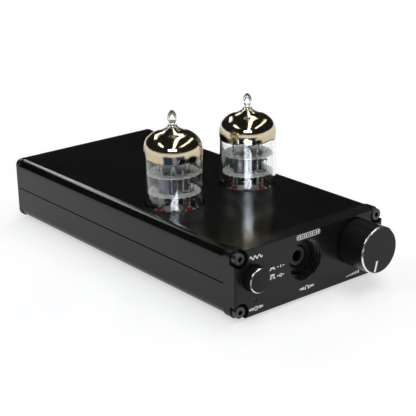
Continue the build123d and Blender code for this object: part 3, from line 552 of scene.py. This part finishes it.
def make_mica(side):
    """Two mica spacers with toothed edges that nearly touch the bulb."""
    low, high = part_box(f"valve_micas_{side}")
    centre = (low + high) / 2
    corners = MICA_TEETH * 4
    made = bmesh.new()
    for top in (low.z + PLAIN_MICA_THICKNESS, high.z):
        ring = []
        for step in range(corners):
            angle = 2 * math.pi * step / corners
            radius = MICA_TOOTH_RADIUS if step % 4 in (1, 2) else MICA_GAP_RADIUS
            ring.append((centre.x + radius * math.cos(angle), centre.y + radius * math.sin(angle)))
        upper = [made.verts.new((x, y, top)) for x, y in ring]
        lower = [made.verts.new((x, y, top - MICA_THICKNESS)) for x, y in ring]
        made.faces.new(upper)
        made.faces.new(list(reversed(lower)))
        for step in range(corners):
            after = (step + 1) % corners
            made.faces.new((lower[step], lower[after], upper[after], upper[step]))
    mesh = finish_mesh(made, f"mica_{side}")
    add_piece(f"mica_{side}", mesh, MATERIALS["mica"], f"valve_{side}", [f"valve_micas_{side}"])


def make_electrode_details(side):
    """Grid rods, straps and collars between and around the micas."""
    low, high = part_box(f"valve_micas_{side}")
    centre = (low + high) / 2
    right = Vector((math.cos(VIEW_TURN), -math.sin(VIEW_TURN), 0))
    near = Vector((-math.sin(VIEW_TURN), -math.cos(VIEW_TURN), 0))

    def spot(across, forward, height):
        return Vector((centre.x, centre.y, height * MM)) + right * (across * MM) + near * (forward * MM)

    lower, upper = low.z / MM, high.z / MM
    below, above = 0.5, 0.6
    rods = bmesh.new()
    for across, forward in GRID_RODS:
        ends = [spot(across, forward, lower - below), spot(across, forward, upper + above)]
        add_bar(rods, ends, GRID_ROD_RADIUS, GRID_ROD_RADIUS)
    clear_of_mica = 0.7
    for number in range(GRID_TURNS):
        climb = (upper - lower - 2 * clear_of_mica) * number / (GRID_TURNS - 1)
        height = lower + clear_of_mica + climb
        sag = 0.12 * math.sin(2.3 * number)
        heights = (height, height + sag, height - sag, height + sag)
        wire = [spot(*place, level) for place, level in zip(GRID_RODS, heights)]
        add_bar(rods, wire, GRID_WIRE_RADIUS, GRID_WIRE_RADIUS, 6)
    mesh = finish_mesh(rods, f"grid_rods_{side}")
    add_piece(f"grid_rods_{side}", mesh, MATERIALS["strap"], f"valve_{side}")

    straps = bmesh.new()
    for half_height, path in STRAPS:
        add_bar(straps, [spot(*point) for point in path], STRAP_HALF_THICKNESS, half_height * MM)
    mesh = finish_mesh(straps, f"straps_{side}")
    add_piece(f"straps_{side}", mesh, MATERIALS["electrode"], f"valve_{side}")

    collars = bmesh.new()
    seal_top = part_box(f"valve_seals_{side}")[1].z
    collar_places = [  # height, radius and thickness
        (seal_top, 0.72 * MM, 0.22 * MM),
        (seal_top + 2.1 * MM, 0.5 * MM, 0.3 * MM),
        (high.z, 0.62 * MM, 0.16 * MM),
        (low.z + PLAIN_MICA_THICKNESS, 0.62 * MM, 0.16 * MM),
    ]
    for angle in PIN_ANGLES:
        turned = Vector((math.cos(math.radians(angle)), math.sin(math.radians(angle)), 0))
        middle = Vector((centre.x, centre.y, 0)) + PIN_CIRCLE * turned
        for height, radius, thick in collar_places:
            profile = [(COLLAR_BORE, 0), (radius, 0), (radius, thick), (COLLAR_BORE, thick + 0.1 * MM)]
            add_lathe(profile, collars, middle + UP * height, UP, 20)
    mesh = finish_mesh(collars, f"collars_{side}")
    add_piece(f"collars_{side}", mesh, MATERIALS["wire"], f"valve_{side}")


for side in SIDES:
    make_bulb(side)
    make_getter(side)
    make_mica(side)
    make_electrode_details(side)


# ------------------------------------------------------------------------------------------ bright edges
def bright_ring(name, node, body, radius, chamfer):
    """Polished edge round the front of a knob or button, a hair proud of its chamfer.

    Faces beyond the polished band are as black as the knob."""
    low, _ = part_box(node)
    middle = middle_of(node)
    centre = Vector((middle.x, low.y, middle.z))
    proud = 0.008 * MM
    polished = 0.62 * chamfer
    made = bmesh.new()
    profile = [
        (radius - chamfer - 0.05 * MM, proud),
        (radius - polished, proud),
        (radius - 0.5 * polished, -0.4 * polished),
        (radius + proud, -polished),
        (radius + proud, -chamfer - 0.06 * MM),
    ]
    add_lathe(profile, made, centre, FRONT, 128)
    mesh = finish_mesh(made, name)
    add_piece(name, mesh, MATERIALS["bright"], body)
    mesh.materials.append(MATERIALS["knob"])
    for face in mesh.polygons:
        across = Vector((face.center.x - centre.x, face.center.z - centre.z)).length
        flat = across < radius - polished or across > radius - 0.01 * MM
        face.material_index = 1 if flat else 0


bright_ring("knob_bright_edge", "volume_knob", "knob", 7.45 * MM, 0.6 * MM)
bright_ring("button_bright_edge", "power_button", "button", 3.8 * MM, 0.45 * MM)


# ------------------------------------------------------------------------------------------ jack
RECESS_RADIUS = 6.2 * MM
RECESS_DEPTH = 4.0 * MM
WALL_RIDGES = [(0.9, 0.16), (1.9, 0.26), (3.0, 0.4)]  # depth and height in mm
FLOOR_RIDGES = [5.1, 4.3]  # inner radius in mm
FLOOR_RIDGE_HEIGHT = 0.14 * MM


def make_jack_ridges():
    """Turned steps on the wall and floor of the recess round the headphone jack."""
    middle = middle_of("jack_nose")
    centre = Vector((middle.x, FACE_Y, middle.z))
    made = bmesh.new()
    for depth, tall in WALL_RIDGES:
        back = -(depth + tall) * MM
        profile = [
            (RECESS_RADIUS, -depth * MM),
            (RECESS_RADIUS - tall * MM, -(depth + 0.1) * MM),
            (RECESS_RADIUS - tall * MM, back - 0.1 * MM),
            (RECESS_RADIUS, back - 0.15 * MM),
            (RECESS_RADIUS, -depth * MM),
        ]
        add_lathe(profile, made, centre, FRONT)
    for radius in FLOOR_RIDGES:
        profile = [
            (radius * MM, -RECESS_DEPTH),
            ((radius + 0.05) * MM, -RECESS_DEPTH + FLOOR_RIDGE_HEIGHT),
            ((radius + 0.3) * MM, -RECESS_DEPTH + FLOOR_RIDGE_HEIGHT),
            ((radius + 0.35) * MM, -RECESS_DEPTH),
            (radius * MM, -RECESS_DEPTH),
        ]
        add_lathe(profile, made, centre, FRONT)
    bmesh.ops.remove_doubles(made, verts=made.verts, dist=0.001 * MM)
    mesh = finish_mesh(made, "jack_ridges")
    add_piece("jack_ridges", mesh, MATERIALS["turned"], "chassis")


make_jack_ridges()


# ------------------------------------------------------------------------------------------ panel marks
# Places on the panel are x and the height above the case's underside, in mm.
PAINT = 0.03 * MM
BAR_PITCH = 0.46
MITRE_LIMIT = 0.4


def add_ribbon(made, points, width, closed=False):
    """Raised strip of paint with mitred corners along (x, height) points on the front panel."""
    spots = [Vector((x * MM, z * MM)) for x, z in points]
    count = len(spots)
    rings = []
    for index, spot in enumerate(spots):
        first = index == 0 and not closed
        last = index == count - 1 and not closed
        after = None if last else (spots[(index + 1) % count] - spot).normalized()
        before = after if first else (spot - spots[index - 1]).normalized()
        after = before if last else after
        along = (before + after).normalized()
        across = Vector((-along.y, along.x))
        reach = width / 2 / max(MITRE_LIMIT, across.dot(Vector((-after.y, after.x))))
        edge, far_edge = spot + across * reach, spot - across * reach
        section = [(edge, PAINT), (far_edge, PAINT), (far_edge, 0), (edge, 0)]
        rings.append([
            made.verts.new((flat.x, FACE_Y - depth, CASE_LOW + flat.y)) for flat, depth in section
        ])
    for index in range(count if closed else count - 1):
        low, high = rings[index], rings[(index + 1) % count]
        for corner in range(4):
            other = (corner + 1) % 4
            made.faces.new((low[corner], low[other], high[other], high[corner]))
    if not closed:
        made.faces.new(rings[0])
        made.faces.new(list(reversed(rings[-1])))


def arc(x, z, radius, start=0.0, end=360.0, steps=24):
    """Points on an arc about (x, z), with angles in degrees from +X towards up."""
    whole = abs(end - start) >= 360
    count = steps if whole else steps + 1
    return [
        (
            x + radius * math.cos(math.radians(start + (end - start) * step / steps)),
            z + radius * math.sin(math.radians(start + (end - start) * step / steps)),
        )
        for step in range(count)
    ]


def add_level(made, x, z, count, way):
    """Row of bars like a sound level, which get shorter away from x."""
    for number in range(count):
        bar = x + way * BAR_PITCH * number
        rise = 0.46 - 0.05 * number
        add_ribbon(made, [(bar, z - rise), (bar, z + rise)], 0.29 * MM)


def draw_power(made, x, z):
    """Power symbol between two sound levels, under the light."""
    add_ribbon(made, arc(x, z - 0.06, 0.58, 125, 415), 0.24 * MM)
    add_ribbon(made, [(x, z - 0.02), (x, z + 0.75)], 0.24 * MM)
    for way in (-1, 1):
        add_level(made, x + way * 1.15, z, 4, way)


def draw_headphones(made, x, z):
    """Headphones between two sound levels, under the jack."""
    add_ribbon(made, arc(x, z - 0.05, 0.66, 0, 180), 0.22 * MM)
    for way in (-1, 1):
        add_ribbon(made, [(x + way * 0.66, z + 0.1), (x + way * 0.66, z - 0.65)], 0.42 * MM)
        add_level(made, x + way * 1.3, z, 4, way)


def draw_volume(made, x, z):
    """Bars that rise to the right, under the knob."""
    for number in range(9):
        left = x + 0.66 * number
        add_ribbon(made, [(left, z), (left, z + 0.32 + 0.09 * number)], 0.36 * MM)


def draw_button_states(made, x):
    """Pressed and released button, each with its symbol between two dashes."""
    for z, rise in ((12.5, 0.6), (9.6, 1.3)):
        base = [(0, 0), (0.4, 0), (0.4, rise), (1.75, rise), (1.75, 0), (2.15, 0)]
        plunger = [(0.8, 0.05), (0.8, rise - 0.22), (1.35, rise - 0.22), (1.35, 0.05)]
        for outline, width in ((base, 0.24 * MM), (plunger, 0.16 * MM)):
            add_ribbon(made, [(x + across, z + up) for across, up in outline], width)
    symbol_x = x + 4.3
    add_ribbon(made, [(symbol_x, 12.4), (symbol_x, 13.3)], 0.3 * MM)
    add_ribbon(made, arc(symbol_x, 9.95, 0.42), 0.24 * MM, closed=True)
    for z in (12.85, 9.95):
        for way in (-1, 1):
            add_ribbon(made, [(symbol_x + way * 0.75, z), (symbol_x + way * 1.4, z)], 0.26 * MM)


def draw_wave_box(made, x, z):
    """Rounded box with a row of bars like a sound level, above the jack."""
    half_width, half_height, rounding = 4.6, 0.68, 0.35
    outline = []
    for way_x, way_z, start in ((1, 1, 0), (-1, 1, 90), (-1, -1, 180), (1, -1, 270)):
        middle = (x + way_x * (half_width - rounding), z + way_z * (half_height - rounding))
        outline += arc(*middle, rounding, start, start + 90, 4)
    add_ribbon(made, outline, 0.17 * MM, closed=True)
    for number in range(11):
        bar = x - 4.0 + 0.8 * number
        rise = 0.14 + 0.3 * abs(math.sin(1.1 * number + 0.6))
        add_ribbon(made, [(bar, z - rise), (bar, z + rise)], 0.36 * MM)


def draw_sine(made, x, z):
    """Three turns of a sine wave, above the button."""
    length, height, waves, steps = 4.8, 0.5, 3, 48
    wave = []
    for step in range(steps + 1):
        angle = 2 * math.pi * waves * step / steps
        wave.append((x + length * step / steps, z + height * math.sin(angle)))
    add_ribbon(made, wave, 0.32 * MM)


def make_marks():
    """All the white marks, as one piece, in white paint with a faint painted glow."""
    made = bmesh.new()
    draw_power(made, -22.2, 2.2)
    draw_headphones(made, -1.95, 2.95)
    draw_volume(made, 14.95, 1.45)
    draw_button_states(made, -16.9)
    draw_wave_box(made, -1.45, 19.75)
    draw_sine(made, -24.5, 18.2)
    mesh = finish_mesh(made, "panel_marks")
    add_piece("panel_marks", mesh, MATERIALS["mark"], "chassis")


make_marks()


# ------------------------------------------------------------------------------------------ camera
CAMERA_PLACE = Vector((0, FACE_Y, CASE_LOW)) + Vector((-227.34, -235.46, 145.56)) * MM


def aim_camera():
    """Camera placed from the front panel, looking down at the object's front and left side."""
    turn, tilt, roll = VIEW_TURN, math.radians(19.77), math.radians(-1.138)
    forward = Vector((math.sin(turn) * math.cos(tilt), math.cos(turn) * math.cos(tilt), -math.sin(tilt)))
    right = Vector((math.cos(turn), -math.sin(turn), 0))
    up = right.cross(forward)
    tilted_right = math.cos(roll) * right + math.sin(roll) * up
    tilted_up = -math.sin(roll) * right + math.cos(roll) * up
    data = bpy.data.cameras.new("camera")
    data.lens = 101.71
    data.sensor_width = 36.0
    data.clip_start = 0.01
    camera = bpy.data.objects.new("camera", data)
    matrix = Matrix((tilted_right, tilted_up, -forward)).transposed().to_4x4()
    camera.matrix_world = Matrix.Translation(CAMERA_PLACE) @ matrix
    bpy.context.scene.collection.objects.link(camera)
    bpy.context.scene.camera = camera


aim_camera()


# ------------------------------------------------------------------------------------------ floor and light
def make_floor():
    """Plain white table, faintly uneven. It glows more away from the object."""
    made = bmesh.new()
    reach = 12.0
    corners = [(-reach, -reach), (reach, -reach), (reach, reach), (-reach, reach)]
    made.faces.new([made.verts.new((x, y, 0)) for x, y in corners])
    mesh = finish_mesh(made, "floor", outward=False)
    m = Material("floor_white")
    mottle = m.noise(40 * MM, 2.0)
    far = m.node("VectorMath", {0: m.coordinates.outputs["Object"]}, operation="LENGTH").outputs["Value"]
    m.surface(
        Base_Color=m.blend(m.spread(mottle, 0.0, 1.0), colour(0.6, 0.605, 0.61), colour(0.62, 0.62, 0.62)),
        Roughness=0.9,
        Specular_IOR_Level=0.0,
        Emission_Color=colour(0.98, 0.985, 1.0),
        Emission_Strength=m.spread(far, 0.62, 1.1, 0.15, 0.9),
    )
    mesh.materials.append(m.data)
    floor = bpy.data.objects.new("floor", mesh)
    bpy.context.scene.collection.objects.link(floor)


def card(name, start, end, start_width, end_width, lift, tint, strength):
    """Flat coloured sheet on the table between the camera and the object, seen only in reflections.

    start and end are distances from below the camera towards the object."""
    ahead = Vector((math.sin(VIEW_TURN), math.cos(VIEW_TURN), 0))
    right = Vector((math.cos(VIEW_TURN), -math.sin(VIEW_TURN), 0))
    foot = Vector((CAMERA_PLACE.x, CAMERA_PLACE.y, lift))
    made = bmesh.new()
    corners = [
        foot + ahead * along + right * (width * way / 2)
        for along, width, way in ((start, start_width, -1), (start, start_width, 1),
                                  (end, end_width, 1), (end, end_width, -1))
    ]
    made.faces.new([made.verts.new(corner) for corner in corners])
    mesh = finish_mesh(made, name, outward=False)
    m = Material(name)
    cloth = m.noise(8 * MM, 3.0)
    m.surface(
        Base_Color=m.blend(cloth, tint, colour(*[1.2 * c for c in tint[:3]])),
        Roughness=1.0,
        Specular_IOR_Level=0.0,
        Emission_Color=tint,
        Emission_Strength=strength,
    )
    mesh.materials.append(m.data)
    sheet = bpy.data.objects.new(name, mesh)
    sheet.visible_camera = False
    sheet.visible_diffuse = False
    sheet.visible_shadow = False
    bpy.context.scene.collection.objects.link(sheet)


def camera_light(elevation, distance, width, height, radiance, tint):
    """Light just above the camera, aimed at the object. It reaches only the glass, mirrors and top."""
    data = bpy.data.lights.new("camera_light", "AREA")
    data.shape = "RECTANGLE"
    data.size = width
    data.size_y = height
    data.energy = radiance * math.pi * width * height
    data.color = tint
    lamp = bpy.data.objects.new("camera_light", data)
    outward = Vector((-math.sin(VIEW_TURN), -math.cos(VIEW_TURN), math.tan(elevation))).normalized()
    lamp.location = Vector((0, 0, CASE_TOP)) + outward * distance
    lamp.rotation_euler = (-outward).to_track_quat("-Z", "Y").to_euler()
    lamp.visible_diffuse = False
    shiny = bpy.data.collections.new("lit_by_camera_light")
    for name in ("glass_left", "glass_right", "getter_left", "getter_right"):
        shiny.objects.link(bpy.data.objects[name])
    shiny.objects.link(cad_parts["top_shell"])
    lamp.light_linking.receiver_collection = shiny
    bpy.context.scene.collection.objects.link(lamp)


CEILING = 1.5


def ceiling_light(name, middle, length, width, azimuth, radiance, tint=(1.0, 1.0, 0.98)):
    """Strip light in the ceiling. middle is (x, y), and lengths are shares of the ceiling's height."""
    data = bpy.data.lights.new(name, "AREA")
    data.shape = "RECTANGLE"
    data.size = width * CEILING
    data.size_y = length * CEILING
    data.energy = radiance * math.pi * data.size * data.size_y
    data.color = tint
    lamp = bpy.data.objects.new(name, data)
    lamp.location = (middle[0] * CEILING, middle[1] * CEILING, CEILING)
    lamp.rotation_euler = (0, 0, -math.radians(azimuth))
    bpy.context.scene.collection.objects.link(lamp)


make_floor()
ceiling_light("middle_strip", (-0.165, -0.40), 3.2, 0.12, 42, 7.0)
ceiling_light("left_strip", (-0.75, 0.28), 0.66, 0.17, 33, 7.0)
ceiling_light("back_strip", (0.33, 1.48), 1.16, 0.24, 57, 6.0)
ceiling_light("right_strip", (0.78, -0.36), 2.0, 0.13, 50, 4.5)
camera_light(math.radians(22.0), 1.2, 0.6, 0.19, 150.0, (0.84, 0.91, 1.0))
card("navy_card", 0.12, 0.3, 0.42, 0.1, 0.4 * MM, colour(0.03, 0.05, 0.13), 0.6)
card("pale_card", 0.12, 0.3, 0.07, 0.014, 0.6 * MM, colour(0.4, 0.45, 0.62), 0.15)

world = bpy.data.worlds.new("studio")
world.use_nodes = True
world.node_tree.nodes["Background"].inputs["Color"].default_value = colour(0.9, 0.95, 1.0)
world.node_tree.nodes["Background"].inputs["Strength"].default_value = 0.02
bpy.context.scene.world = world
bpy.context.scene.view_settings.view_transform = "Standard"
